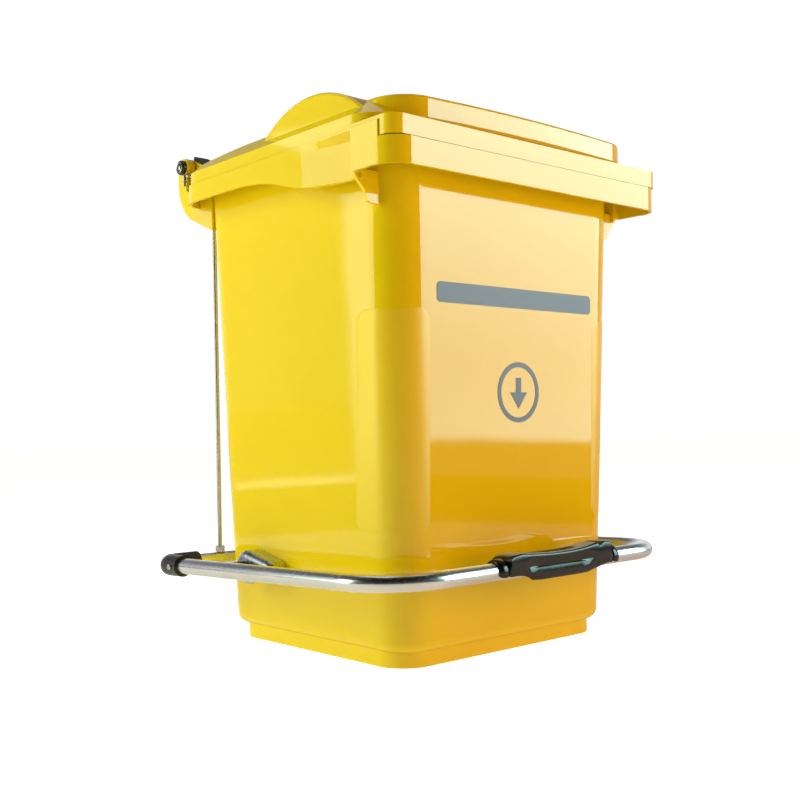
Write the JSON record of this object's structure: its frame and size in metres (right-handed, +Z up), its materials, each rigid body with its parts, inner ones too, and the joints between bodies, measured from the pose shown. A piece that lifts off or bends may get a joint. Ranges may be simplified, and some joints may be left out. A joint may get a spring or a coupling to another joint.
{
  "type": "pedal bin",
  "caption": "Large floor-standing plastic waste bin with a hinged vaulted lid that is lifted by a bent-tube foot pedal through a rear crossbar and push rods.",
  "frame": {"origin": "centre of the flat underside of the plinth", "axes": "+Z up, -Y towards the front with the pedal tread, +X to the right seen from behind the pedal facing the bin"},
  "size_m": [0.5244, 0.5054, 0.671],
  "materials": {
    "yellow_shell": "smooth glossy injection moulded yellow polypropylene",
    "front_print": "flat slate grey printed marks",
    "tube_steel": "bright plated steel tube",
    "rod_steel": "plain drawn steel rod and nuts",
    "bracket_steel": "pressed bright steel",
    "tread_black": "glossy black moulded plastic",
    "fitting_black": "satin black moulded plastic",
    "buffer_black": "matte black rubber strip",
    "bush_black": "black nylon bush"
  },
  "bodies": {
    "bin_body": {"bin_tub": "yellow_shell", "front_bar": "front_print", "front_sign_ring": "front_print", "front_sign_arrow": "front_print", "hinge_pin_left": "bracket_steel", "hinge_pin_right": "bracket_steel", "hinge_cap_left": "fitting_black", "hinge_cap_right": "fitting_black", "pivot_bracket_left": "bracket_steel", "pivot_bracket_right": "bracket_steel", "bracket_rivets_left": "bracket_steel", "bracket_rivets_right": "bracket_steel", "pivot_bolt_left": "bracket_steel", "pivot_bolt_right": "bracket_steel", "pivot_bush_left": "bush_black", "pivot_bush_right": "bush_black"},
    "lid": {"lid": "yellow_shell", "lid_buffer_left": "buffer_black", "lid_buffer_right": "buffer_black"},
    "pedal_frame": {"pedal_tube": "tube_steel", "pedal_tread": "tread_black", "elbow_left": "fitting_black", "elbow_right": "fitting_black", "elbow_screw_left": "bracket_steel", "elbow_screw_right": "bracket_steel"},
    "push_frame": {"rear_crossbar": "tube_steel", "push_rod_left": "rod_steel", "push_rod_right": "rod_steel", "rod_nut_upper_left": "rod_steel", "rod_nut_upper_right": "rod_steel", "rod_nut_lower_left": "rod_steel", "rod_nut_lower_right": "rod_steel"}
  },
  "joints": [
    {"name": "lid_hinge", "type": "hinge", "parent": "bin_body", "child": "lid", "pos_m": [0, 0.234, 0.646], "axis": [-1, 0, 0], "range_deg": [0, 80]},
    {"name": "pedal_pivot", "type": "hinge", "parent": "bin_body", "child": "pedal_frame", "pos_m": [0, 0.096, 0.1003], "axis": [1, 0, 0], "range_deg": [0, 9.74]},
    {"name": "crossbar_turn", "type": "hinge", "parent": "pedal_frame", "child": "push_frame", "pos_m": [0, 0.23994, 0.09614], "axis": [-1, 0, 0], "range_deg": [0, 9.34]}
  ],
  "couplings": [
    {"joint": "pedal_pivot", "follows": "lid_hinge", "ratio": 0.1217},
    {"joint": "crossbar_turn", "follows": "lid_hinge", "ratio": 0.1167}
  ]
}
